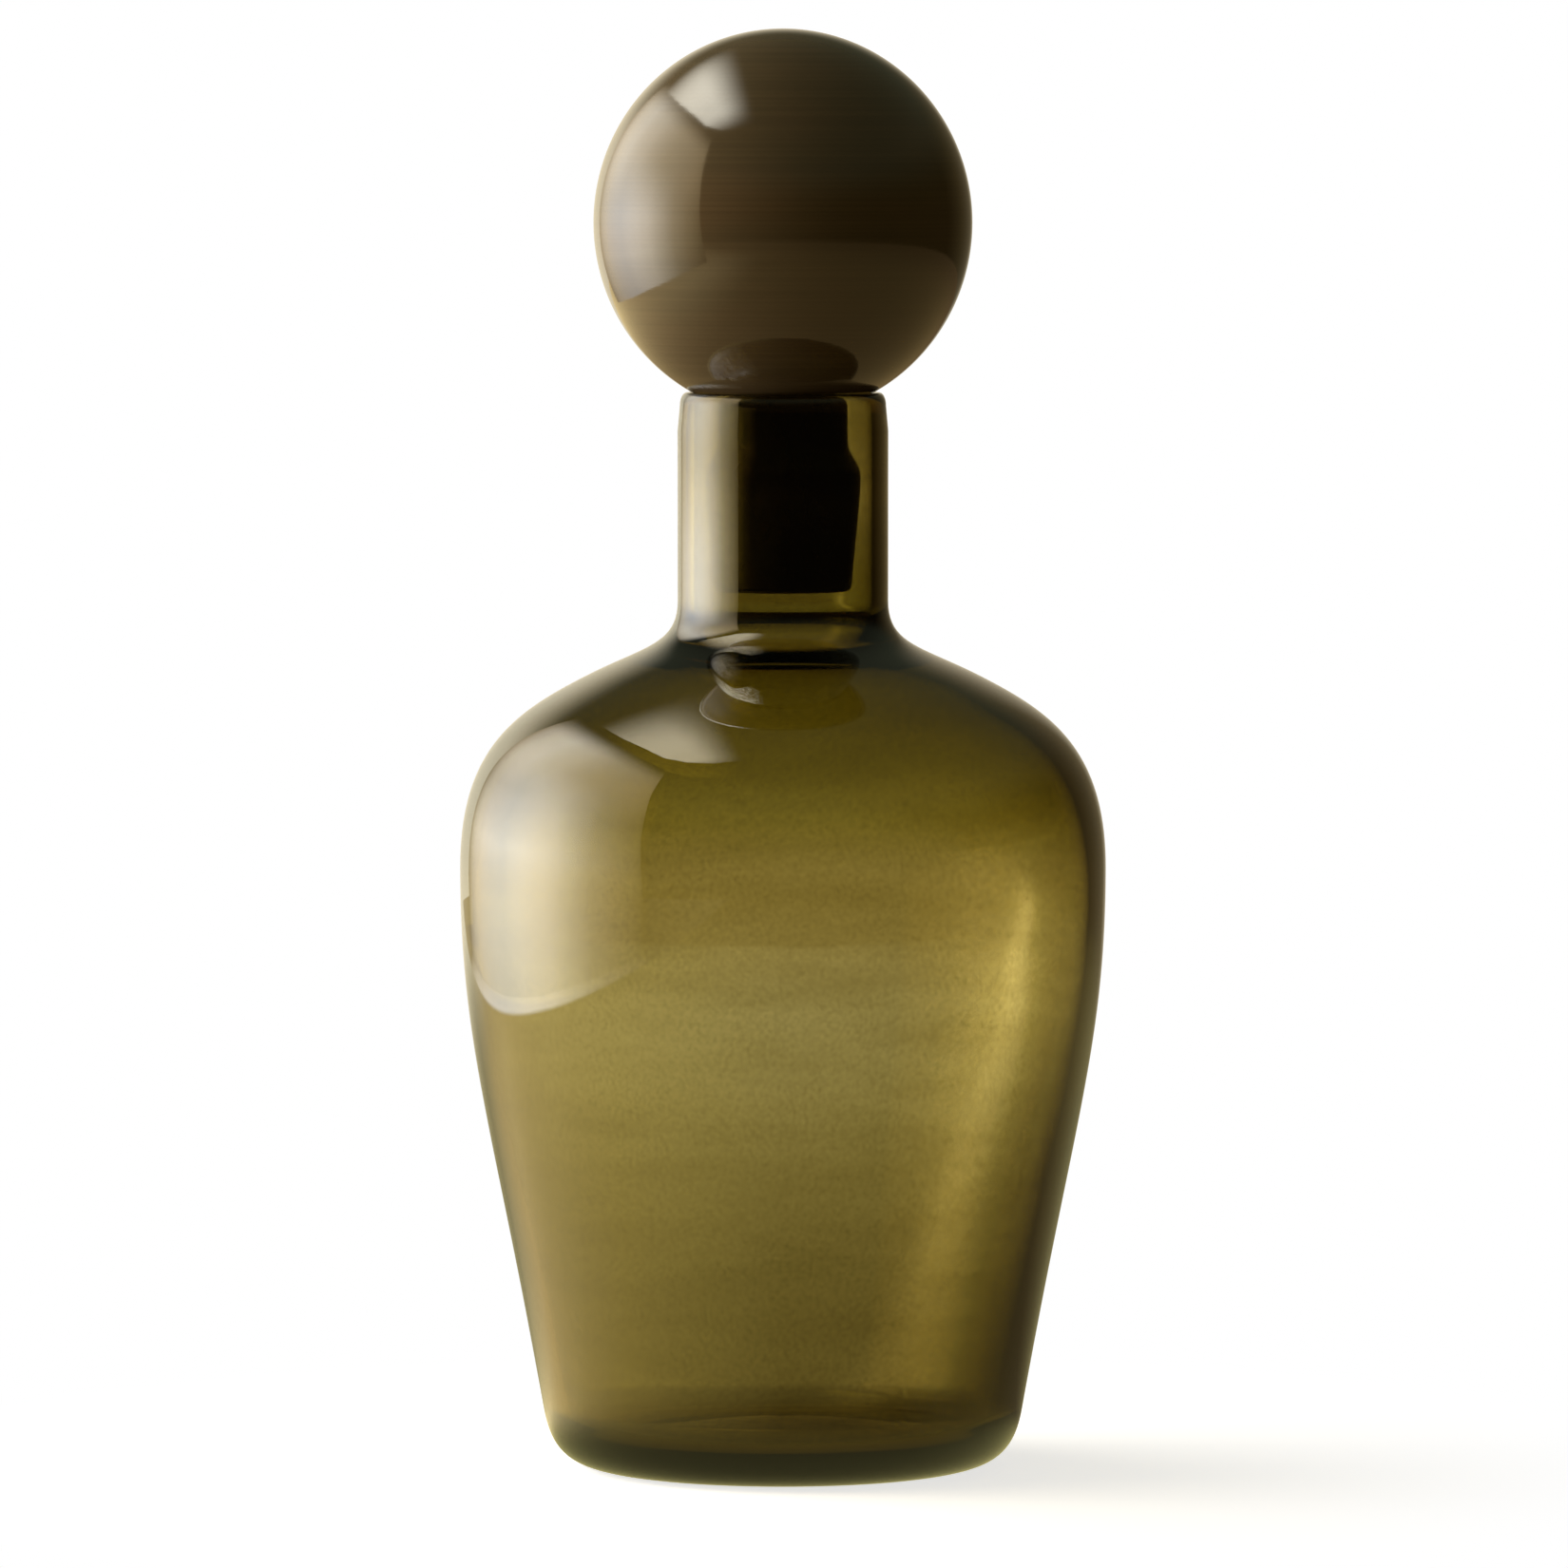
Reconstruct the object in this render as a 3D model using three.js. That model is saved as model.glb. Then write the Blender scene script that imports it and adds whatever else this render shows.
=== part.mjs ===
// Glass decanter with a ball stopper: a blown bottle, and a stopper that lifts straight out of it.
// The stopper is a hollow blown ball with a solid glass plug bonded into the hole in its underside.
// Millimetres, +Z up. The origin is the centre of the flat ring that the bottle stands on.

import * as THREE from "three";

// Bottle, outside. Heights are measured from the surface that it stands on.
const restRingInner = 28; // the flat ring that the bottle stands on
const restRingOuter = 34;
const puntRise = 3.2; // the hollow pushed up under the base
const heelRadius = 46.9; // where the rounded heel meets the side
const heelHeight = 12;
const sideLean = THREE.MathUtils.degToRad(10); // the side's lean outwards at the heel
const bodyRadius = 62.9; // the widest place
const bodyHeight = 117;
const turnRadius = 38.9; // where the shoulder turns from convex to concave
const turnHeight = 154;
const turnSlope = THREE.MathUtils.degToRad(27.3); // the shoulder's slope there, from level
const neckRadius = 20.5;
const neckRootHeight = 169; // where the straight neck begins
const lipTaperHeight = 202; // where the neck starts to draw in to the lip
const lipDrawIn = 0.45;
const mouthHeight = 209.45; // the top of the lip

// Fullness of the outside curves, as shares of the straight distance between their ends.
const heelFloorFullness = 0.58;
const heelSideFullness = 0.33;
const sideLowFullness = 0.535;
const sideHighFullness = 0.325;
const shoulderLowFullness = 0.523;
const shoulderHighFullness = 0.338;
const rootLowFullness = 0.554;
const rootHighFullness = 0.367;

// Fullness of the inside curves, from the turn of the shoulder to the ledge and on into the bore.
const ledgeFullness = 0.333;
const boreRootFullness = 0.55;

// Bottle, wall and floor.
const heelWall = 4.7; // where the heel meets the side
const thinWall = 3; // the thinnest place
const thinHeight = 105;
const shoulderWall = 4.7; // from here up to the turn of the shoulder
const shoulderWallHeight = 146;
const neckWall = 3.1;
const ledgeWidth = 3.1; // the ledge inside the root of the neck, outside the bore
const ledgeRise = 2.4; // above the turn of the shoulder
const ledgeSlope = THREE.MathUtils.degToRad(17);
const boreRootRise = 6; // where the straight bore begins, above the turn of the shoulder
const baseThickness = 7.2; // the floor above the resting ring
const floorRadius = 34.5; // the floor's edge, where the inside starts to turn up
const floorRise = 2.4; // the floor follows the punt
const lipOuterCrown = 2.5; // height of the fire-polished rounding outside the lip
const lipInnerCrown = 1.25; // and inside it, where the ball sits

// Stopper ball, a little taller than it is wide.
const ballRadius = 36.8;
const ballHalfHeight = 37.6;
const ballWall = 3.6;
const plugHoleRadius = 9;

// Stopper plug.
const plugClearance = 2.3; // all round, between the plug's widest place and the bore
const plugDepth = 38.6; // how far the plug hangs below the top of the lip
const plugTaper = 1.7; // how much smaller its radius is at the bottom end
const plugEdgeRound = 1.3;
const waistRadius = 12.6;
const waistDepth = 9.2; // from the top of the lip down to where the waist ends
const bulgeDepth = 16.6; // from the top of the lip down to the widest place
const spigotLength = 6; // the part of the plug inside the ball

// Gaps between pieces.
const seatGap = 0.3; // between the ball and the lip
const bondGap = 0.3; // the bond between the plug and the ball
const flatMargin = 0.5; // how far the ground flat under the ball runs past the waist

const roundSegments = 48;

const point = (radius, height) => new THREE.Vector2(radius, height);

// A curve between two profile points that leaves one in startWay and reaches the other in endWay.
// Each fullness is a share of the straight distance between the points.
function sweep(start, startWay, startFullness, end, endWay, endFullness, steps) {
  const distance = start.distanceTo(end);
  const startHandle = start.clone().addScaledVector(startWay, startFullness * distance);
  const endHandle = end.clone().addScaledVector(endWay, -endFullness * distance);
  return new THREE.CubicBezierCurve(start, startHandle, endHandle, end).getPoints(steps);
}

// A stretch of an ellipse about a centre, from one angle to another; 0 points outwards and 90 up.
function ellipseArc(centre, radiusAcross, radiusUp, fromDegrees, toDegrees, steps) {
  const points = [];
  for (let step = 0; step <= steps; step++) {
    const degrees = THREE.MathUtils.lerp(fromDegrees, toDegrees, step / steps);
    const angle = THREE.MathUtils.degToRad(degrees);
    points.push(point(centre.x + radiusAcross * Math.cos(angle), centre.y + radiusUp * Math.sin(angle)));
  }
  return points;
}

// Joins stretches of a profile, leaving out each point that repeats the one before it.
function joined(...stretches) {
  const tooClose = 1e-4;
  const profile = [];
  for (const next of stretches.flat()) {
    if (profile.length === 0 || profile.at(-1).distanceTo(next) > tooClose) profile.push(next);
  }
  return profile;
}

// Turns a profile round the Z axis. The profile runs from the axis up the outside and back to the axis.
function turned(profile) {
  return new THREE.LatheGeometry(profile, roundSegments).rotateX(Math.PI / 2);
}

function piece(name, geometry, color, roughness) {
  const material = new THREE.MeshStandardMaterial({ color, roughness, metalness: 0 });
  const mesh = new THREE.Mesh(geometry, material);
  mesh.name = name;
  return mesh;
}

const outwards = point(1, 0);
const inwards = point(-1, 0);
const upwards = point(0, 1);
const sideWay = point(Math.sin(sideLean), Math.cos(sideLean));
const turnWay = point(-Math.cos(turnSlope), Math.sin(turnSlope));

// Places that both the bottle and the stopper are worked out from.
const boreRadius = neckRadius - neckWall;
const lipRadius = neckRadius - lipDrawIn;
const crownRadius = (lipRadius + boreRadius) / 2; // the highest circle of the lip

const turn = point(turnRadius, turnHeight);
const neckRoot = point(neckRadius, neckRootHeight);

// The bottle's outside from the heel to the turn of the shoulder.
function outerWall() {
  const heel = point(heelRadius, heelHeight);
  const widest = point(bodyRadius, bodyHeight);
  return joined(
    sweep(heel, sideWay, sideLowFullness, widest, upwards, sideHighFullness, 8),
    sweep(widest, upwards, shoulderLowFullness, turn, turnWay, shoulderHighFullness, 9),
  );
}

// The wall is thick at the heel and in the shoulder, where the blown glass is slowest to thin out.
function wallAt(height) {
  const { lerp, smoothstep } = THREE.MathUtils;
  if (height < thinHeight) {
    return lerp(heelWall, thinWall, smoothstep(height, heelHeight, thinHeight));
  }
  return lerp(thinWall, shoulderWall, smoothstep(height, thinHeight, shoulderWallHeight));
}

// The inside of a wall: each point moves in from the outside by the wall's thickness there.
function insideOf(wall) {
  return wall.map((here, index) => {
    const before = wall[Math.max(index - 1, 0)];
    const after = wall[Math.min(index + 1, wall.length - 1)];
    const along = after.clone().sub(before).normalize();
    const inwardNormal = point(-along.y, along.x);
    return here.clone().addScaledVector(inwardNormal, wallAt(here.y));
  });
}

// The inside flattens into a ledge and then turns up sharply into the bore, lower down than the outside
// turns into the neck, so that the glass is thickest at the root of the neck.
function innerRoot() {
  const inwardNormal = point(-turnWay.y, turnWay.x);
  const innerTurn = turn.clone().addScaledVector(inwardNormal, wallAt(turnHeight));
  const ledge = point(boreRadius + ledgeWidth, turnHeight + ledgeRise);
  const ledgeWay = point(-Math.cos(ledgeSlope), Math.sin(ledgeSlope));
  const boreRoot = point(boreRadius, turnHeight + boreRootRise);
  return joined(
    sweep(innerTurn, turnWay, ledgeFullness, ledge, ledgeWay, ledgeFullness, 4),
    sweep(ledge, ledgeWay, boreRootFullness, boreRoot, upwards, boreRootFullness, 4),
  );
}

function bottle() {
  const outside = outerWall();
  const inside = joined(insideOf(outside).slice(0, -1), innerRoot()).reverse();
  const ringInner = point(restRingInner, 0);
  const ringOuter = point(restRingOuter, 0);
  const puntTop = point(0, puntRise);
  const puntEdgeWay = point(Math.cos(sideLean), -Math.sin(sideLean));
  const lipOuterCentre = point(crownRadius, mouthHeight - lipOuterCrown);
  const lipInnerCentre = point(crownRadius, mouthHeight - lipInnerCrown);
  const floorEdge = point(floorRadius, baseThickness);
  const floorTop = point(0, baseThickness + floorRise);
  const innerHeel = inside.at(-1);
  const innerHeelWay = sideWay.clone().negate();
  return turned(
    joined(
      sweep(puntTop, outwards, 0.4, ringInner, puntEdgeWay, 0.3, 4),
      sweep(ringOuter, outwards, heelFloorFullness, outside[0], sideWay, heelSideFullness, 5),
      outside,
      sweep(turn, turnWay, rootLowFullness, neckRoot, upwards, rootHighFullness, 6),
      [point(neckRadius, lipTaperHeight)],
      ellipseArc(lipOuterCentre, lipRadius - crownRadius, lipOuterCrown, 0, 90, 4),
      ellipseArc(lipInnerCentre, crownRadius - boreRadius, lipInnerCrown, 90, 180, 3),
      inside,
      sweep(innerHeel, innerHeelWay, 0.35, floorEdge, inwards, 0.5, 4),
      sweep(floorEdge, inwards, 0.4, floorTop, inwards, 0.4, 3),
    ),
  );
}

// The ball rests on the rounding inside the lip, which is taken as a circle here.
function ballCentreHeight() {
  const rounding = (crownRadius - boreRadius + lipInnerCrown) / 2;
  const reach = rounding + seatGap;
  const sine = crownRadius / (ballRadius + reach);
  const cosine = Math.sqrt(1 - sine ** 2);
  const contactNormal = point(sine / ballRadius, cosine / ballHalfHeight).normalize();
  const contactRadius = crownRadius - reach * contactNormal.x;
  const contactDrop = ballHalfHeight * Math.sqrt(1 - (contactRadius / ballRadius) ** 2);
  return mouthHeight - lipInnerCrown + reach * contactNormal.y + contactDrop;
}

const ballHeight = ballCentreHeight();
const flatRadius = waistRadius + flatMargin;
const flatHeight = ballHeight - ballHalfHeight * Math.sqrt(1 - (flatRadius / ballRadius) ** 2);

// The angle below level, in degrees, at which an ellipse comes in to a radius.
const angleAt = (radius, radiusAcross) => -THREE.MathUtils.radToDeg(Math.acos(radius / radiusAcross));

// The profile starts at the top inside, so that its ends are on the axis and the hole is left open.
function stopperBall() {
  const centre = point(0, ballHeight);
  const hollowRadius = ballRadius - ballWall;
  const hollowHalfHeight = ballHalfHeight - ballWall;
  const outsideStart = angleAt(flatRadius, ballRadius);
  const insideStart = angleAt(plugHoleRadius, hollowRadius);
  return turned(
    joined(
      ellipseArc(centre, hollowRadius, hollowHalfHeight, 90, insideStart, 12),
      [point(plugHoleRadius, flatHeight)],
      ellipseArc(centre, ballRadius, ballHalfHeight, outsideStart, 90, 18),
    ),
  );
}

function stopperPlug() {
  const spigotRadius = plugHoleRadius - bondGap;
  const shoulderHeight = flatHeight - bondGap;
  const widestRadius = boreRadius - plugClearance;
  const bottomRadius = widestRadius - plugTaper;
  const bottomHeight = mouthHeight - plugDepth;
  const waistEnd = point(waistRadius, mouthHeight - waistDepth);
  const widest = point(widestRadius, mouthHeight - bulgeDepth);
  const edgeCentre = point(bottomRadius - plugEdgeRound, bottomHeight + plugEdgeRound);
  const taperWay = point(plugTaper, plugDepth - bulgeDepth).normalize();
  return turned(
    joined(
      [point(0, bottomHeight)],
      ellipseArc(edgeCentre, plugEdgeRound, plugEdgeRound, -90, 0, 3),
      sweep(point(bottomRadius, edgeCentre.y), taperWay, 0.3, widest, upwards, 0.2, 3),
      sweep(widest, upwards, 0.45, waistEnd, upwards, 0.4, 6),
      [point(waistRadius, shoulderHeight)],
      [point(spigotRadius, shoulderHeight)],
      [point(spigotRadius, shoulderHeight + spigotLength)],
      [point(0, shoulderHeight + spigotLength)],
    ),
  );
}

const decanter = new THREE.Group();
decanter.add(piece("bottle", bottle(), 0x6f6126, 0.05));

const stopper = new THREE.Group();
stopper.add(piece("stopper_ball", stopperBall(), 0x6f604a, 0.12));
stopper.add(piece("stopper_plug", stopperPlug(), 0x1c1812, 0.15));
decanter.add(stopper);

export default decanter;
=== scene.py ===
# Glass decanter with a ball stopper: a blown olive bottle, and a blown opaque ball on a dark glass plug.
# Metres, +Z up. The bottle stands on z = 0 and every piece is turned about the Z axis.

import math

import bpy
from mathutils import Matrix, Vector, geometry, noise

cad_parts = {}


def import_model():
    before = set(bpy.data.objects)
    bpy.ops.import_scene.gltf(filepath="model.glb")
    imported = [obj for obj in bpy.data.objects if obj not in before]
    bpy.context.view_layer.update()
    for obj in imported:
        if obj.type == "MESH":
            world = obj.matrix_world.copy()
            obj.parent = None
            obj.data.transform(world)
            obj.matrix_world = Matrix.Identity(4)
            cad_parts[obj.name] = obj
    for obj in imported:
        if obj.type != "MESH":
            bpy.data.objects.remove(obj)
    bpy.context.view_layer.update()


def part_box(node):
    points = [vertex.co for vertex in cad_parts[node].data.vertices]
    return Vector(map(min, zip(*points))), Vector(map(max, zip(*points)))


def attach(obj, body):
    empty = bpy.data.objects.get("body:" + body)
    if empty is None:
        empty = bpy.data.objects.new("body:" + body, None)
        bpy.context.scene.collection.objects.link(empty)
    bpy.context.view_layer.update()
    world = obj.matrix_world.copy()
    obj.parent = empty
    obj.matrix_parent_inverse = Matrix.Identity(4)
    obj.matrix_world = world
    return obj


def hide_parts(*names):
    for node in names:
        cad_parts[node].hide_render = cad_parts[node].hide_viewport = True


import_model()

_, bottle_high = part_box("bottle")
_, ball_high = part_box("stopper_ball")
plug_low, plug_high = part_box("stopper_plug")

# Bottle, outside
REST_RING_INNER = 0.028
REST_RING_OUTER = 0.034
PUNT_RISE = 0.0032
HEEL_RADIUS = 0.0469
HEEL_HEIGHT = 0.012
SIDE_LEAN = math.radians(10)
BODY_RADIUS = bottle_high.x
BODY_HEIGHT = 0.117
TURN_RADIUS = 0.0389
TURN_HEIGHT = 0.154
TURN_SLOPE = math.radians(27.3)
NECK_RADIUS = 0.0205
NECK_ROOT_HEIGHT = 0.169
LIP_TAPER_HEIGHT = 0.202
LIP_DRAW_IN = 0.00045
MOUTH_HEIGHT = bottle_high.z

# Bottle, wall and floor
HEEL_WALL = 0.0047
THIN_WALL = 0.003
THIN_HEIGHT = 0.105
SHOULDER_WALL = 0.0047
SHOULDER_WALL_HEIGHT = 0.146
NECK_WALL = 0.0031
LEDGE_WIDTH = 0.0031
LEDGE_RISE = 0.0024
LEDGE_SLOPE = math.radians(17)
BORE_ROOT_RISE = 0.006
BASE_THICKNESS = 0.0072
FLOOR_RADIUS = 0.0345
FLOOR_RISE = 0.0024
LIP_OUTER_CROWN = 0.0025
LIP_INNER_CROWN = 0.00125

# Stopper
BALL_RADIUS = ball_high.x
BALL_HALF_HEIGHT = 0.0376
BALL_WALL = 0.0036
PLUG_HOLE_RADIUS = 0.009
PLUG_TAPER = 0.0017
PLUG_EDGE_ROUND = 0.0013
WAIST_RADIUS = 0.0126
WAIST_DEPTH = 0.0092
BULGE_DEPTH = 0.0166
SPIGOT_RADIUS = 0.0087
SPIGOT_LENGTH = 0.006
FLAT_MARGIN = 0.0005

# Fullness of each curve: the handles at its start and end, as shares of the distance between them
PUNT_FULLNESS = (0.4, 0.3)
HEEL_FULLNESS = (0.58, 0.33)
SIDE_FULLNESS = (0.535, 0.325)
SHOULDER_FULLNESS = (0.523, 0.338)
NECK_TURN_FULLNESS = (0.554, 0.367)
INNER_HEEL_FULLNESS = (0.35, 0.5)
FLOOR_FULLNESS = (0.4, 0.4)
LEDGE_FULLNESS = (0.333, 0.333)
BORE_ROOT_FULLNESS = (0.55, 0.55)
PLUG_TAPER_FULLNESS = (0.3, 0.2)
PLUG_BULGE_FULLNESS = (0.45, 0.4)

# Ripples of the hand-blown glass: how deep, how many to the metre, and the heights where they die out
WAVE_IN = 0.00013
WAVE_OUT = 0.00003
SLOW_ROUND = 26
SLOW_UPWARD = 42
QUICK_ROUND = 60
QUICK_UPWARD = 170
QUICK_SHARE = 0.14
QUICK_SHIFT = 7
INNER_WAVE_SHIFT = Vector((0.3, 0, 0))
CALM_HEEL = (0.003, 0.016)
CALM_NECK = (0.148, 0.166)
CALM_LIP = (0.19, 0.208)
NECK_CALMING = 0.6

SEGMENTS = 256

# Camera
CAMERA_DISTANCE = 2.125
CAMERA_HEIGHT = 0.268
AIM_HEIGHT = 0.1332
AIM_ACROSS = 0.0002
LENS = 251
SENSOR = 36


# Profiles

def point(radius, height):
    return Vector((radius, height))


OUTWARDS = point(1, 0)
INWARDS = point(-1, 0)
UPWARDS = point(0, 1)


def sweep(start, start_way, end, end_way, fullness, steps):
    """A curve that leaves start in start_way and reaches end in end_way."""
    distance = (end - start).length
    start_handle = start + start_way * (fullness[0] * distance)
    end_handle = end - end_way * (fullness[1] * distance)
    return geometry.interpolate_bezier(start, start_handle, end_handle, end, steps + 1)


def ellipse_arc(centre, radius_across, radius_up, from_degrees, to_degrees, steps):
    """A stretch of an ellipse; 0 degrees points outwards and 90 up."""
    points = []
    for step in range(steps + 1):
        angle = math.radians(from_degrees + (to_degrees - from_degrees) * step / steps)
        points.append(centre + point(radius_across * math.cos(angle), radius_up * math.sin(angle)))
    return points


def straight(start, end, steps):
    return [start.lerp(end, step / steps) for step in range(steps + 1)]


def joined(*stretches):
    """One profile from several stretches, without the points that repeat the one before them."""
    too_close = 1e-7
    profile = []
    for stretch in stretches:
        for here in stretch:
            if not profile or (here - profile[-1]).length > too_close:
                profile.append(here)
    return profile


BORE_RADIUS = NECK_RADIUS - NECK_WALL
LIP_RADIUS = NECK_RADIUS - LIP_DRAW_IN
CROWN_RADIUS = (LIP_RADIUS + BORE_RADIUS) / 2
BALL_CENTRE = point(0, ball_high.z - BALL_HALF_HEIGHT)
SIDE_WAY = point(math.sin(SIDE_LEAN), math.cos(SIDE_LEAN))
TURN_WAY = point(-math.cos(TURN_SLOPE), math.sin(TURN_SLOPE))
TURN = point(TURN_RADIUS, TURN_HEIGHT)


def outer_wall():
    """The bottle's outside from the heel to the turn of the shoulder."""
    heel = point(HEEL_RADIUS, HEEL_HEIGHT)
    widest = point(BODY_RADIUS, BODY_HEIGHT)
    return joined(
        sweep(heel, SIDE_WAY, widest, UPWARDS, SIDE_FULLNESS, 48),
        sweep(widest, UPWARDS, TURN, TURN_WAY, SHOULDER_FULLNESS, 36),
    )


def smoothstep(value, low, high):
    share = min(max((value - low) / (high - low), 0), 1)
    return share * share * (3 - 2 * share)


def wall_at(height):
    """The wall's thickness, which is greatest at the heel and in the shoulder."""
    if height < THIN_HEIGHT:
        return HEEL_WALL + (THIN_WALL - HEEL_WALL) * smoothstep(height, HEEL_HEIGHT, THIN_HEIGHT)
    shoulder_share = smoothstep(height, THIN_HEIGHT, SHOULDER_WALL_HEIGHT)
    return THIN_WALL + (SHOULDER_WALL - THIN_WALL) * shoulder_share


def inside_of(wall):
    """The inside of a wall: each point moves in from the outside by the wall's thickness there."""
    inside = []
    for index, here in enumerate(wall):
        before = wall[max(index - 1, 0)]
        after = wall[min(index + 1, len(wall) - 1)]
        along = (after - before).normalized()
        inside.append(here + point(-along.y, along.x) * wall_at(here.y))
    return inside


def inner_root():
    """The inside from the shoulder into the bore: it flattens into a ledge, then turns up sharply."""
    inner_turn = TURN + point(-TURN_WAY.y, TURN_WAY.x) * wall_at(TURN_HEIGHT)
    ledge = point(BORE_RADIUS + LEDGE_WIDTH, TURN_HEIGHT + LEDGE_RISE)
    ledge_way = point(-math.cos(LEDGE_SLOPE), math.sin(LEDGE_SLOPE))
    bore_root = point(BORE_RADIUS, TURN_HEIGHT + BORE_ROOT_RISE)
    return joined(
        sweep(inner_turn, TURN_WAY, ledge, ledge_way, LEDGE_FULLNESS, 16),
        sweep(ledge, ledge_way, bore_root, UPWARDS, BORE_ROOT_FULLNESS, 16),
    )


def bottle_profile():
    """The bottle's whole outline, and how many of its points are on the outside."""
    outside = outer_wall()
    inside = joined(inside_of(outside)[:-1], inner_root())[::-1]
    neck_root = point(NECK_RADIUS, NECK_ROOT_HEIGHT)
    punt_top = point(0, PUNT_RISE)
    ring_inner = point(REST_RING_INNER, 0)
    ring_outer = point(REST_RING_OUTER, 0)
    punt_edge_way = point(math.cos(SIDE_LEAN), -math.sin(SIDE_LEAN))
    lip_outer_centre = point(CROWN_RADIUS, MOUTH_HEIGHT - LIP_OUTER_CROWN)
    lip_inner_centre = point(CROWN_RADIUS, MOUTH_HEIGHT - LIP_INNER_CROWN)
    floor_edge = point(FLOOR_RADIUS, BASE_THICKNESS)
    floor_top = point(0, BASE_THICKNESS + FLOOR_RISE)
    lip_start = point(NECK_RADIUS, LIP_TAPER_HEIGHT)
    bore_top = point(BORE_RADIUS, MOUTH_HEIGHT - LIP_INNER_CROWN)
    outer = joined(
        sweep(punt_top, OUTWARDS, ring_inner, punt_edge_way, PUNT_FULLNESS, 16),
        straight(ring_inner, ring_outer, 3),
        sweep(ring_outer, OUTWARDS, outside[0], SIDE_WAY, HEEL_FULLNESS, 20),
        outside,
        sweep(TURN, TURN_WAY, neck_root, UPWARDS, NECK_TURN_FULLNESS, 20),
        straight(neck_root, lip_start, 12),
        ellipse_arc(lip_outer_centre, LIP_RADIUS - CROWN_RADIUS, LIP_OUTER_CROWN, 0, 90, 12),
    )
    inner = joined(
        ellipse_arc(lip_inner_centre, CROWN_RADIUS - BORE_RADIUS, LIP_INNER_CROWN, 90, 180, 8),
        straight(bore_top, inside[0], 14),
        inside,
        sweep(inside[-1], -SIDE_WAY, floor_edge, INWARDS, INNER_HEEL_FULLNESS, 16),
        sweep(floor_edge, INWARDS, floor_top, INWARDS, FLOOR_FULLNESS, 16),
    )
    return joined(outer, inner), len(outer)


def angle_at(radius, radius_across):
    """The angle below level at which an ellipse comes in to a radius."""
    return -math.degrees(math.acos(radius / radius_across))


def ball_profile():
    """A hollow ball, flat where it stands on the plug, with a hole there for the plug's spigot."""
    hollow_radius = BALL_RADIUS - BALL_WALL
    hollow_half_height = BALL_HALF_HEIGHT - BALL_WALL
    hole_angle = angle_at(PLUG_HOLE_RADIUS, hollow_radius)
    flat_angle = angle_at(WAIST_RADIUS + FLAT_MARGIN, BALL_RADIUS)
    inside = ellipse_arc(BALL_CENTRE, hollow_radius, hollow_half_height, 90, hole_angle, 24)
    outside = ellipse_arc(BALL_CENTRE, BALL_RADIUS, BALL_HALF_HEIGHT, flat_angle, 90, 120)
    hole_edge = point(PLUG_HOLE_RADIUS, outside[0].y)
    hole = straight(inside[-1], hole_edge, 3)
    flat = straight(hole_edge, outside[0], 3)
    return joined(inside, hole, flat, outside)


def plug_profile():
    """A solid peg: rounded at the bottom, widest above its taper, waisted, with a spigot on top."""
    shoulder_height = plug_high.z - SPIGOT_LENGTH
    widest_radius = plug_high.x
    bottom_radius = widest_radius - PLUG_TAPER
    waist_end = point(WAIST_RADIUS, MOUTH_HEIGHT - WAIST_DEPTH)
    waist_top = point(WAIST_RADIUS, shoulder_height)
    widest = point(widest_radius, MOUTH_HEIGHT - BULGE_DEPTH)
    edge_centre = point(bottom_radius - PLUG_EDGE_ROUND, plug_low.z + PLUG_EDGE_ROUND)
    edge_top = point(bottom_radius, edge_centre.y)
    taper_way = (widest - edge_top).normalized()
    spigot_bottom = point(SPIGOT_RADIUS, shoulder_height)
    spigot_top = point(SPIGOT_RADIUS, plug_high.z)
    bottom = point(0, plug_low.z)
    return joined(
        straight(bottom, point(edge_centre.x, plug_low.z), 6),
        ellipse_arc(edge_centre, PLUG_EDGE_ROUND, PLUG_EDGE_ROUND, -90, 0, 10),
        sweep(edge_top, taper_way, widest, UPWARDS, PLUG_TAPER_FULLNESS, 24),
        sweep(widest, UPWARDS, waist_end, UPWARDS, PLUG_BULGE_FULLNESS, 20),
        straight(waist_end, waist_top, 6),
        straight(waist_top, spigot_bottom, 3),
        straight(spigot_bottom, spigot_top, 3),
        straight(spigot_top, point(0, plug_high.z), 3),
    )


# Meshes

def waves(place):
    """Slow ripples of hand-blown glass, from -1 to 1, longer round the axis than along it."""
    slow = noise.noise(Vector((place.x * SLOW_ROUND, place.y * SLOW_ROUND, place.z * SLOW_UPWARD)))
    quick_place = (place.x * QUICK_ROUND + QUICK_SHIFT, place.y * QUICK_ROUND, place.z * QUICK_UPWARD)
    quick = noise.noise(Vector(quick_place))
    return (1 - QUICK_SHARE) * slow + QUICK_SHARE * quick


def bottle_wave(index, place):
    """How far the bottle's surface stands out from its profile."""
    away_from_lip = 1 - smoothstep(place.z, *CALM_LIP)
    if index < outside_count:
        share = smoothstep(place.z, *CALM_HEEL) * away_from_lip
        return WAVE_OUT * share * (waves(place) - 1) / 2
    calm_neck = 1 - NECK_CALMING * smoothstep(place.z, *CALM_NECK)
    return WAVE_IN * calm_neck * away_from_lip * waves(place + INNER_WAVE_SHIFT)


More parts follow.
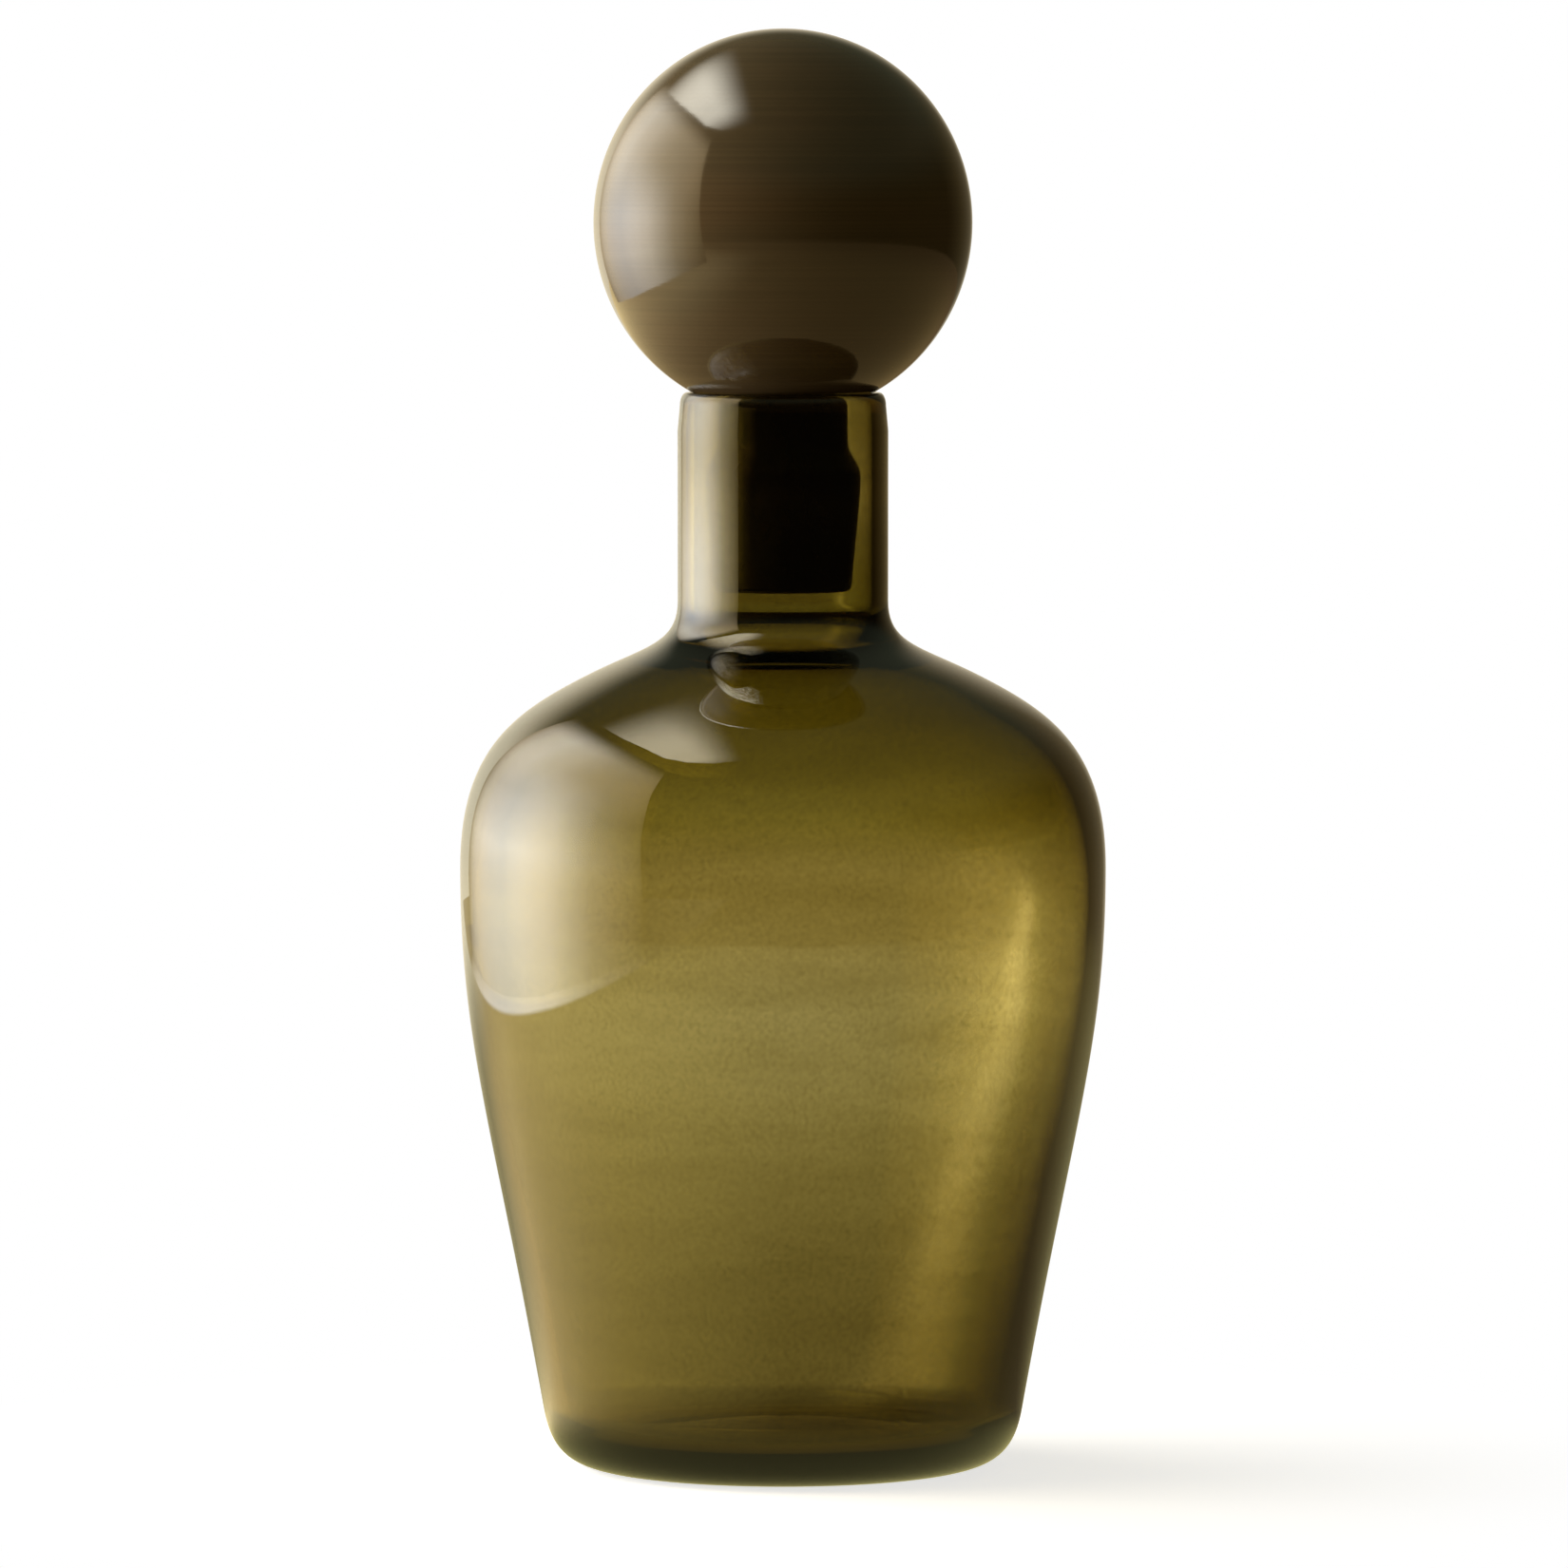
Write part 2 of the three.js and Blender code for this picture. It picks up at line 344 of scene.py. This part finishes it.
def turned(name, profile, wave=None):
    """A closed body of revolution from a profile that starts and ends on the axis."""
    on_axis = 1e-6
    vertices = []
    rings = []
    for index, here in enumerate(profile):
        if here.x < on_axis:
            rings.append([len(vertices)] * (SEGMENTS + 1))
            vertices.append((0, 0, here.y))
            continue
        along = (profile[index + 1] - profile[index - 1]).normalized()
        first = len(vertices)
        rings.append([first + step % SEGMENTS for step in range(SEGMENTS + 1)])
        for step in range(SEGMENTS):
            angle = math.tau * step / SEGMENTS
            place = Vector((here.x * math.cos(angle), here.x * math.sin(angle), here.y))
            outward = Vector((along.y * math.cos(angle), along.y * math.sin(angle), -along.x))
            vertices.append(place + outward * wave(index, place) if wave else place)
    faces = []
    for low, high in zip(rings, rings[1:]):
        for step in range(SEGMENTS):
            corners = (low[step], low[step + 1], high[step + 1], high[step])
            faces.append(list(dict.fromkeys(corners)))
    data = bpy.data.meshes.new(name)
    data.from_pydata(vertices, [], faces)
    data.shade_smooth()
    piece = bpy.data.objects.new(name, data)
    bpy.context.scene.collection.objects.link(piece)
    return piece


# Shader nodes

class Value:
    """A number or colour that a shader node gives; numbers take part in Python arithmetic."""

    def __init__(self, shader, socket):
        self.shader = shader
        self.socket = socket

    def combined(self, operation, first, second):
        return self.shader.node("Math", {"operation": operation}, {0: first, 1: second})

    def __add__(self, other):
        return self.combined("ADD", self, other)

    __radd__ = __add__

    def __sub__(self, other):
        return self.combined("SUBTRACT", self, other)

    def __rsub__(self, other):
        return self.combined("SUBTRACT", other, self)

    def __mul__(self, other):
        return self.combined("MULTIPLY", self, other)

    __rmul__ = __mul__


class Shader:
    """The nodes of one material or world."""

    def __init__(self, owner):
        owner.use_nodes = True
        self.tree = owner.node_tree
        self.tree.nodes.clear()

    def node(self, kind, settings=None, sockets=None, output=0):
        """Adds a node, with its settings first and then its sockets, and gives one of its outputs."""
        made = self.tree.nodes.new("ShaderNode" + kind)
        for name, value in (settings or {}).items():
            if name == "stops":
                ramp = made.color_ramp.elements
                while len(ramp) < len(value):
                    ramp.new(0)
                for element, (position, colour) in zip(ramp, value):
                    element.position = position
                    element.color = (*colour, 1)
            else:
                setattr(made, name, value)
        for name, value in (sockets or {}).items():
            if isinstance(value, Value):
                self.tree.links.new(value.socket, made.inputs[name])
            else:
                made.inputs[name].default_value = value
        return Value(self, made.outputs[output]) if made.outputs else None


WHITE = (1, 1, 1, 1)


def fade(shader, value, low, high):
    """0 at low and 1 at high, with a smooth way between them."""
    return shader.node(
        "MapRange",
        {"interpolation_type": "SMOOTHSTEP"},
        {"Value": value, "From Min": low, "From Max": high},
    )


def tint(shader, value, stops):
    """A colour that runs through the stops as the value rises from the first to the last of them."""
    low, high = stops[0][0], stops[-1][0]
    along = shader.node("MapRange", {}, {"Value": value, "From Min": low, "From Max": high})
    shares = [((place - low) / (high - low), colour) for place, colour in stops]
    return shader.node("ValToRGB", {"stops": shares}, {"Fac": along})


def blend(shader, factor, first, second):
    return shader.node("Mix", {"data_type": "RGBA"}, {"Factor": factor, 6: first, 7: second}, output=2)


def product(shader, first, second):
    return shader.node("VectorMath", {"operation": "MULTIPLY"}, {0: first, 1: second})


def place_of(shader, axis):
    position = shader.node("TexCoord", output="Object")
    return shader.node("SeparateXYZ", {}, {0: position}, output=axis)


def stretched(shader, across, upward):
    """The place in the piece, scaled for a pattern that is finer one way than the other."""
    return product(shader, shader.node("TexCoord", output="Object"), (across, across, upward))


def cloud(shader, place, detail):
    return shader.node("TexNoise", {}, {"Vector": place, "Scale": 1.0, "Detail": detail})


# Materials

# Scales of the patterns, across the piece and upwards, in features to the metre
GRAIN_SCALE = (1100, 900)
STREAK_SCALE = (26, 120)
BALL_CLOUD_SCALE = (30, 60)
BALL_RING_SCALE = (9, 1500)
PLUG_CLOUD_SCALE = (150, 90)

GLASS_IOR = 1.52
OLIVE_ABSORPTION = (0.557, 0.484, 0.047, 1)
OLIVE_DENSITY = 440.0
OLIVE_GRAIN = (0.87, 0.86, 0.82, 1)
OLIVE_STREAK = (0.9, 0.89, 0.84, 1)
TAUPE = (0.094, 0.069, 0.039, 1)
TAUPE_CLOUD = (0.112, 0.076, 0.043, 1)
RING_DARK = (0.9, 0.9, 0.9, 1)
RING_LIGHT = (1.05, 1.05, 1.05, 1)
RING_DEPTH = 0.000012
RING_BUMP = 0.35
PLUG_BLACK = (0.012, 0.009, 0.006, 1)
PLUG_BROWN = (0.028, 0.021, 0.013, 1)


def olive_glass():
    """Clear olive glass with a fine grain and faint streaks, darker in the neck."""
    material = bpy.data.materials.new("olive_glass")
    shader = Shader(material)
    upward = tint(
        shader,
        place_of(shader, "Z"),
        [
            (0.08, (1.0, 1.0, 1.0)),
            (0.1, (0.975, 0.955, 0.89)),
            (0.12, (0.97, 0.945, 0.85)),
            (0.13, (0.87, 0.86, 0.62)),
            (0.142, (0.84, 0.84, 0.56)),
            (0.1535, (0.77, 0.76, 0.44)),
            (0.158, (0.66, 0.64, 0.4)),
            (0.166, (0.5, 0.48, 0.28)),
            (0.174, (0.5, 0.47, 0.28)),
            (0.182, (0.6, 0.57, 0.42)),
            (0.19, (0.74, 0.7, 0.56)),
            (0.2, (0.66, 0.62, 0.46)),
            (0.212, (0.5, 0.46, 0.3)),
        ],
    )
    grain = fade(shader, cloud(shader, stretched(shader, *GRAIN_SCALE), 3.0), 0.25, 0.58)
    streaks = fade(shader, cloud(shader, stretched(shader, *STREAK_SCALE), 5.0), 0.28, 0.6)
    mottled = blend(shader, grain, OLIVE_GRAIN, WHITE)
    streaked = blend(shader, streaks, OLIVE_STREAK, WHITE)
    colour = product(shader, upward, product(shader, mottled, streaked))
    surface = shader.node(
        "BsdfPrincipled",
        {},
        {"Base Color": colour, "Roughness": 0.0, "IOR": GLASS_IOR, "Transmission Weight": 1.0},
    )
    absorption = shader.node(
        "VolumeAbsorption", {}, {"Color": OLIVE_ABSORPTION, "Density": OLIVE_DENSITY}
    )
    shader.node("OutputMaterial", {}, {"Surface": surface, "Volume": absorption})
    return material


def taupe_glass():
    """Opaque glossy taupe glass with fine rings from turning and slow clouds of a warmer brown."""
    material = bpy.data.materials.new("taupe_glass")
    shader = Shader(material)
    clouds = fade(shader, cloud(shader, stretched(shader, *BALL_CLOUD_SCALE), 3.0), 0.3, 0.7)
    rings = cloud(shader, stretched(shader, *BALL_RING_SCALE), 2.0)
    warm = blend(shader, clouds, TAUPE_CLOUD, TAUPE)
    ringed = blend(shader, fade(shader, rings, 0.3, 0.7), RING_DARK, RING_LIGHT)
    normal = shader.node("Bump", {}, {"Height": rings, "Strength": RING_BUMP, "Distance": RING_DEPTH})
    surface = shader.node(
        "BsdfPrincipled",
        {},
        {
            "Base Color": product(shader, warm, ringed),
            "Roughness": 0.05 + 0.05 * clouds,
            "IOR": GLASS_IOR,
            "Normal": normal,
        },
    )
    shader.node("OutputMaterial", {}, {"Surface": surface})
    return material


def dark_glass():
    """Near-black brown glass, a little cloudy and unevenly glossy."""
    material = bpy.data.materials.new("dark_glass")
    shader = Shader(material)
    clouds = fade(shader, cloud(shader, stretched(shader, *PLUG_CLOUD_SCALE), 3.0), 0.3, 0.7)
    surface = shader.node(
        "BsdfPrincipled",
        {},
        {
            "Base Color": blend(shader, clouds, PLUG_BLACK, PLUG_BROWN),
            "Roughness": 0.12 + 0.08 * clouds,
            "IOR": GLASS_IOR,
        },
    )
    shader.node("OutputMaterial", {}, {"Surface": surface})
    return material


# Camera

def place_camera():
    lens = bpy.data.cameras.new("camera")
    lens.lens = LENS
    lens.sensor_width = SENSOR
    lens.clip_end = 50
    camera = bpy.data.objects.new("camera", lens)
    bpy.context.scene.collection.objects.link(camera)
    camera.location = (AIM_ACROSS, -CAMERA_DISTANCE, CAMERA_HEIGHT)
    aim = Vector((AIM_ACROSS, 0, AIM_HEIGHT))
    camera.rotation_euler = (aim - camera.location).to_track_quat("-Z", "Y").to_euler()
    bpy.context.scene.camera = camera


# Stage

FLOOR_SIZE = 6.0
FLOOR_DROP = 0.0002
FLOOR_GLOW = 0.72
FLOOR_PALE = (0.8, 0.79, 0.77, 1)
FLOOR_BOUNCE = 0.25
FLOOR_WHITENS = (0.04, 0.19)
AMBIENT = 0.12

# A ray that starts below the first height comes from the body, and above the second from the stopper
STOPPER_HEIGHTS = (0.175, 0.2)

# The streak behind the glass: its slant across for each metre back, and how it bends far back
STREAK_SLANT = 0.126
STREAK_SHIFT = 0.021
STREAK_BEND = 0.033
STREAK_BENDS = (0.6, 1.4)
STREAK_FAR_GLOW = 0.5

# Shades behind the glass: near the decanter, further right there, and right behind the base
NEAR_SHADE = 0.16
RIGHT_SHADE = 0.13
BENEATH_SHADE = 0.25
# The painted shade, darker and warmer, far behind the decanter where the floor meets the wall, across
# the middle
PAINTED_WALL_FOOT_SHADE = (0.84, 0.79, 0.62, 1)
# The heights between which the streak and the floor's shades end on the wall
WALL_FOOT = (0.16, 0.05)

# The floor in reflections
TABLE_OUTER = (0.4, 1.3)
TABLE_UNDER = (0.55, 0.5, 0.2, 1)
TABLE_BROWN = (0.36, 0.25, 0.1, 1)
TABLE_BROWN_OUTER = (0.2, 0.13, 0.06, 1)
TABLE_LIT = (1.5, 1.2, 0.6, 1)

WINDOW_X = -0.5
WINDOW_FRONT = -0.45
WINDOW_BACK = 0.8
WINDOW_TOP = 0.84
WINDOW_SOFT_TOP = 0.2
WINDOW_MIDDLE = 0.4
WINDOW_LEAN_LOW = 0.05
WINDOW_LEAN_HIGH = 0.14
# The strip of floor at the window's foot that the bottle mirrors as part of the window
WINDOW_FOOT = (-0.436, -0.456)
WINDOW_FOOT_LIGHT = (0.66, 0.66, 0.66)
WINDOW_DULL = (0.62, 0.62, 0.6, 1)

SKYLIGHT_Z = 0.55
SKYLIGHT_SHIFT = 0.06
SKYLIGHT_ON_BODY = (6.0, 5.5, 4.2, 1)
SKYLIGHT_ON_STOPPER = (9.8, 9.4, 8.0, 1)

ROOM_RADIUS = 1.4
ROOM_TOP = 2.0
ROOM_STEPS = 48
WALL_TO_CEILING = (0.45, 1.1)
CEILING = (0.1, 0.11, 0.07, 1)
WALL_LIGHT = (0.13, 0.11, 0.04, 1)


def flat_piece(name, corners, faces=None):
    """A stage piece from its corners, with one face through all of them or with the faces given."""
    data = bpy.data.meshes.new(name)
    data.from_pydata(corners, [], faces or [range(len(corners))])
    piece = bpy.data.objects.new(name, data)
    bpy.context.scene.collection.objects.link(piece)
    return piece


def camera_ray(shader):
    return shader.node("LightPath", output="Is Camera Ray")


def straight_ray(shader):
    """1 for what the camera sees directly or straight through clear glass, with nothing reflected."""
    depth = shader.node("LightPath", output="Ray Depth")
    through_glass = shader.node("LightPath", output="Transmission Depth")
    return shader.node("Math", {"operation": "LESS_THAN"}, {0: depth - through_glass, 1: 0.5})


def diffuse_ray(shader):
    return shader.node("LightPath", output="Is Diffuse Ray")


def from_inside(shader):
    """1 on the side that faces the decanter, for rays that have been reflected."""
    return (1 - shader.node("NewGeometry", output="Backfacing")) * (1 - straight_ray(shader))


def from_stopper(shader):
    """1 for a ray that starts as high as the stopper, and 0 for one from the bottle's body."""
    back_along_ray = shader.node("NewGeometry", output="Incoming")
    rise = shader.node("SeparateXYZ", {}, {0: back_along_ray}, output="Z")
    start = place_of(shader, "Z") + rise * shader.node("LightPath", output="Ray Length")
    return fade(shader, start, *STOPPER_HEIGHTS)


def azimuth(shader):
    """Degrees round the decanter: 0 in front, 90 on the right, -90 on the left and 180 behind."""
    across = place_of(shader, "X")
    forward = 0 - place_of(shader, "Y")
    angle = shader.node("Math", {"operation": "ARCTAN2"}, {0: across, 1: forward})
    return angle * (180 / math.pi)


def glow_material(name, colour_of, cover_of):
    """A stage material that shines where cover_of gives 1 and is see-through where it gives 0."""
    material = bpy.data.materials.new(name)
    shader = Shader(material)
    shine = shader.node("Emission", {}, {"Color": colour_of(shader), "Strength": 1.0})
    clear = shader.node("BsdfTransparent")
    mixed = shader.node("MixShader", {}, {0: cover_of(shader), 1: clear, 2: shine})
    shader.node("OutputMaterial", {}, {"Surface": mixed})
    return material


def round_the_room(shader):
    """The wall and the floor as they show through the glass: bright at the left, dark at the right."""
    return tint(
        shader,
        azimuth(shader),
        [
            (-180, (1.1, 1.08, 1.05)),
            (-174, (1.2, 1.17, 1.14)),
            (-168, (1.35, 1.31, 1.24)),
            (-160, (1.55, 1.5, 1.4)),
            (-148, (1.9, 1.8, 1.6)),
            (-135, (2.3, 2.2, 1.9)),
            (-118, (2.8, 2.6, 1.9)),
            (-98, (1.4, 1.35, 1.1)),
            (-75, (0.9, 0.88, 0.82)),
            (0, (0.7, 0.7, 0.68)),
            (80, (0.7, 0.7, 0.68)),
            (108, (0.25, 0.22, 0.16)),
            (125, (0.12, 0.1, 0.06)),
            (142, (0.32, 0.29, 0.2)),
            (152, (0.6, 0.57, 0.48)),
            (162, (0.95, 0.92, 0.84)),
            (180, (1.1, 1.08, 1.05)),
        ],
    )


def streak_light(shader, beside):
    """The bright streak and the shade on its right, by the distance beside its line."""
    return tint(
        shader,
        beside,
        [
            (-0.01, (1.0, 1.0, 1.0)),
            (0.018, (1.08, 1.08, 1.14)),
            (0.032, (1.58, 1.58, 1.88)),
            (0.044, (1.5, 1.5, 1.78)),
            (0.06, (0.95, 0.95, 0.9)),
            (0.08, (0.74, 0.74, 0.68)),
            (0.14, (0.7, 0.7, 0.64)),
        ],
    )


def behind_glass(shader):
    """What shows through the glass: the room's light, a bright streak over the floor behind, and a
    darker, warmer painted shade far behind where the floor meets the wall.
    """
    around = round_the_room(shader)
    across = place_of(shader, "X")
    back = place_of(shader, "Y")
    bend = STREAK_BEND * fade(shader, back, *STREAK_BENDS)
    beside = across - STREAK_SLANT * back + STREAK_SHIFT + bend
    low = fade(shader, place_of(shader, "Z"), *WALL_FOOT)
    plain = 1 - fade(shader, back, -0.01, 0.03) * low
    streaked = blend(shader, plain, streak_light(shader, beside), WHITE)
    near = fade(shader, back, 0.6, 0.15)
    rightness = fade(shader, across, -0.09, 0.01)
    far_streak = low * fade(shader, back, 0.45, 0.8) * fade(shader, beside, -0.01, 0.03)
    beneath = BENEATH_SHADE * fade(shader, back, 0.095, 0.065)
    shade = 1 - near * (NEAR_SHADE + RIGHT_SHADE * rightness) + STREAK_FAR_GLOW * far_streak - beneath
    shaded = shader.node("VectorMath", {"operation": "SCALE"}, {0: streaked, "Scale": shade})
    # A painted shade, darker and warmer, far behind where the floor meets the wall, across the middle
    middle = fade(shader, across, 0.16, 0.06) * fade(shader, across, -0.3, -0.12)
    furthest = 0.55 * fade(shader, back, 0.9, 1.3) + 0.45 * fade(shader, back, 1.3, 1.39)
    wall_foot_shade = middle * low * furthest
    foot_shaded = blend(shader, wall_foot_shade, WHITE, PAINTED_WALL_FOOT_SHADE)
    return product(shader, around, product(shader, shaded, foot_shaded))


def window_low(shader):
    """The lower window from front to back: brightest beside the decanter, warmer in front."""
    return tint(
        shader,
        place_of(shader, "Y"),
        [
            (-0.45, (0.6, 0.5, 0.24)),
            (-0.38, (1.8, 1.5, 0.8)),
            (-0.3, (2.9, 2.45, 1.45)),
            (-0.2, (4.6, 4.1, 2.8)),
            (-0.1, (8.0, 7.4, 5.9)),
            (-0.02, (10.6, 9.9, 8.4)),
            (0.06, (10.6, 10.1, 9.0)),
            (0.13, (9.2, 9.0, 8.4)),
            (0.22, (6.6, 6.7, 6.6)),
            (0.35, (5.0, 4.9, 4.6)),
            (0.5, (3.8, 3.5, 2.9)),
            (0.8, (1.2, 1.0, 0.6)),
        ],
    )


def window_high(shader):
    """The upper window from front to back, which is dimmer and warmer."""
    return tint(
        shader,
        place_of(shader, "Y"),
        [
            (-0.45, (1.2, 0.9, 0.45)),
            (-0.3, (2.8, 2.2, 1.3)),
            (-0.05, (4.0, 3.4, 2.3)),
            (0.15, (5.2, 4.7, 3.7)),
            (0.35, (4.8, 4.5, 3.8)),
            (0.55, (3.4, 3.1, 2.5)),
            (0.8, (1.2, 1.0, 0.7)),
        ],
    )


def wall_in_reflections(shader):
    """The wall as reflections show it: bright at the back left and dark elsewhere."""
    return tint(
        shader,
        azimuth(shader),
        [
            (-180, (0.8, 0.7, 0.5)),
            (-160, (1.3, 1.18, 0.86)),
            (-140, (2.1, 1.95, 1.5)),
            (-120, (0.02, 0.015, 0.008)),
            (120, (0.02, 0.015, 0.008)),
            (140, (0.12, 0.09, 0.04)),
            (160, (0.2, 0.16, 0.09)),
            (180, (0.8, 0.7, 0.5)),
        ],
    )


def table_round_the_foot(shader):
    """The floor near the decanter as the bottle mirrors it: lit from the left, and dark in front."""
    return tint(
        shader,
        azimuth(shader),
        [
            (-180, (0.3, 0.26, 0.1)),
            (-150, (0.55, 0.48, 0.25)),
            (-120, (1.9, 1.55, 0.8)),
            (-90, (2.0, 1.65, 0.75)),
            (-60, (1.4, 1.15, 0.42)),
            (-30, (0.65, 0.55, 0.2)),
            (0, (0.16, 0.12, 0.06)),
            (40, (0.12, 0.09, 0.04)),
            (60, (0.3, 0.24, 0.08)),
            (90, (0.22, 0.18, 0.07)),
            (120, (0.15, 0.12, 0.06)),
            (150, (0.3, 0.26, 0.12)),
            (180, (0.3, 0.26, 0.1)),
        ],
    )


def table_in_reflections(shader, away):
    """The floor as reflections show it, in the bottle and in the stopper."""
    across = place_of(shader, "X")
    outer = fade(shader, away, *TABLE_OUTER)
    far = blend(shader, outer, table_round_the_foot(shader), wall_in_reflections(shader))
    under = blend(shader, fade(shader, away, 0.085, 0.045), far, TABLE_UNDER)
    window_foot = product(shader, window_low(shader), WINDOW_FOOT_LIGHT)
    on_body = blend(shader, fade(shader, across, *WINDOW_FOOT), under, window_foot)
    brown = blend(shader, outer, TABLE_BROWN, TABLE_BROWN_OUTER)
    lit = fade(shader, across, -0.12, -0.46) * fade(shader, place_of(shader, "Y"), -0.9, -0.1)
    on_stopper = blend(shader, lit, brown, TABLE_LIT)
    return blend(shader, from_stopper(shader), on_body, on_stopper)


def floor():
    """A pale floor that takes the decanter's shadow and turns to plain white further out."""
    half = FLOOR_SIZE / 2
    outline = [(-half, -half), (half, -half), (half, half), (-half, half)]
    piece = flat_piece("floor", [(x, y, -FLOOR_DROP) for x, y in outline])
    material = bpy.data.materials.new("pale_floor")
    material.cycles.emission_sampling = "NONE"
    shader = Shader(material)
    position = shader.node("TexCoord", output="Object")
    away = shader.node("VectorMath", {"operation": "LENGTH"}, {0: position}, output="Value")
    paint = shader.node("BsdfDiffuse", {}, {"Color": FLOOR_PALE})
    near_glow = shader.node("Emission", {}, {"Color": WHITE, "Strength": FLOOR_GLOW})
    near = shader.node("AddShader", {}, {0: paint, 1: near_glow})
    white = shader.node("Emission", {}, {"Color": WHITE, "Strength": 1.0})
    seen = shader.node("MixShader", {}, {0: fade(shader, away, *FLOOR_WHITENS), 1: near, 2: white})
    reflected = table_in_reflections(shader, away)
    colour = blend(shader, straight_ray(shader), reflected, behind_glass(shader))
    strength = 1 - (1 - FLOOR_BOUNCE) * diffuse_ray(shader)
    unseen = shader.node("Emission", {}, {"Color": colour, "Strength": strength})
    mixed = shader.node("MixShader", {}, {0: camera_ray(shader), 1: unseen, 2: seen})
    shader.node("OutputMaterial", {}, {"Surface": mixed})
    piece.data.materials.append(material)


def world():
    """White surroundings for the camera, and a faint level light for the pieces."""
    made = bpy.data.worlds.new("studio")
    bpy.context.scene.world = made
    shader = Shader(made)
    glossy_ray = shader.node("LightPath", output="Is Glossy Ray")
    transmission_ray = shader.node("LightPath", output="Is Transmission Ray")
    seen = camera_ray(shader) + glossy_ray + transmission_ray
    strength = AMBIENT + (1 - AMBIENT) * seen
    background = shader.node("Background", {}, {"Color": WHITE, "Strength": strength})
    shader.node("OutputWorld", {}, {"Surface": background})


def window_colour(shader):
    """The window's light: brightest low down, warmer above, and duller low down for the stopper."""
    height = place_of(shader, "Z")
    rise = tint(
        shader,
        height,
        [
            (0.0, (0.56, 0.56, 0.56)),
            (0.08, (0.74, 0.74, 0.74)),
            (0.14, (0.93, 0.93, 0.93)),
            (0.2, (0.82, 0.82, 0.82)),
            (0.3, (0.68, 0.68, 0.68)),
        ],
    )
    low = product(shader, window_low(shader), rise)
    whole = blend(shader, fade(shader, height, 0.25, 0.5), low, window_high(shader))
    low_for_stopper = from_stopper(shader) * fade(shader, height, 0.3, 0.12)
    dimmed = blend(shader, low_for_stopper, WHITE, WINDOW_DULL)
    return product(shader, whole, dimmed)


def window_cover(shader):
    """The window fades out at its top."""
    height = place_of(shader, "Z")
    return from_inside(shader) * fade(shader, height, WINDOW_TOP, WINDOW_TOP - WINDOW_SOFT_TOP)


def window():
    """A bright window on the left, which only reflections show."""
    outline = [
        (WINDOW_FRONT, 0.0),
        (WINDOW_BACK, 0.0),
        (WINDOW_BACK, WINDOW_TOP),
        (WINDOW_FRONT + WINDOW_LEAN_HIGH, WINDOW_TOP),
        (WINDOW_FRONT + WINDOW_LEAN_LOW, WINDOW_MIDDLE),
    ]
    piece = flat_piece("window", [(WINDOW_X, y, z) for y, z in outline])
    piece.data.materials.append(glow_material("window_glow", window_colour, window_cover))


def skylight_cover(shader):
    """The patch fades out at its edges, and lies further forward for the bottle's body."""
    across = place_of(shader, "X")
    back = place_of(shader, "Y") + SKYLIGHT_SHIFT * (1 - from_stopper(shader))
    sides = fade(shader, across, -0.08, -0.19) * fade(shader, back, 0.35, 0.0)
    return from_inside(shader) * sides * fade(shader, back, -0.19, -0.07)


def skylight_colour(shader):
    return blend(shader, from_stopper(shader), SKYLIGHT_ON_BODY, SKYLIGHT_ON_STOPPER)


def skylight():
    """A soft bright patch overhead, which only reflections show."""
    outline = [
        (-0.29, 0.36),
        (-0.28, 0.1),
        (-0.255, -0.1),
        (-0.215, -0.16),
        (-0.16, -0.19),
        (-0.05, -0.19),
        (-0.05, 0.36),
    ]
    piece = flat_piece("skylight", [(x, y, SKYLIGHT_Z) for x, y in reversed(outline)])
    piece.data.materials.append(glow_material("skylight_glow", skylight_colour, skylight_cover))
    piece.visible_diffuse = False


def wall_colour(shader):
    """The wall fades into the ceiling, and gives the pieces a little olive light."""
    up = fade(shader, place_of(shader, "Z"), *WALL_TO_CEILING)
    reflected = blend(shader, up, wall_in_reflections(shader), CEILING)
    lighting = blend(shader, diffuse_ray(shader), reflected, WALL_LIGHT)
    return blend(shader, straight_ray(shader), lighting, behind_glass(shader))


def wall_cover(shader):
    return 1 - camera_ray(shader)


def ceiling_colour(shader):
    return CEILING


def ceiling_cover(shader):
    return 1 - straight_ray(shader)


def room():
    """A wall all round and a dark ceiling, which the camera doesn't see directly."""
    corners = []
    for step in range(ROOM_STEPS):
        angle = math.tau * step / ROOM_STEPS
        x, y = ROOM_RADIUS * math.sin(angle), -ROOM_RADIUS * math.cos(angle)
        corners += [(x, y, 0.0), (x, y, ROOM_TOP)]
    count = len(corners)
    faces = [(i, (i + 2) % count, (i + 3) % count, i + 1) for i in range(0, count, 2)]
    wall = flat_piece("room_wall", corners, faces)
    ceiling = flat_piece("room_ceiling", corners[1::2])
    wall.data.materials.append(glow_material("room_glow", wall_colour, wall_cover))
    ceiling.data.materials.append(glow_material("room_dark", ceiling_colour, ceiling_cover))
    for piece in (wall, ceiling):
        piece.data.materials[0].cycles.emission_sampling = "NONE"


# Making

place_camera()

profile, outside_count = bottle_profile()
bottle = turned("blown_bottle", profile, bottle_wave)
bottle.data.materials.append(olive_glass())
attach(bottle, "bottle")
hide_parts("bottle")

ball = turned("blown_ball", ball_profile())
ball.data.materials.append(taupe_glass())
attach(ball, "stopper")
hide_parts("stopper_ball")

plug = turned("solid_plug", plug_profile())
plug.data.materials.append(dark_glass())
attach(plug, "stopper")
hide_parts("stopper_plug")

floor()
world()
window()
skylight()
room()

bpy.context.scene.view_settings.view_transform = "Standard"
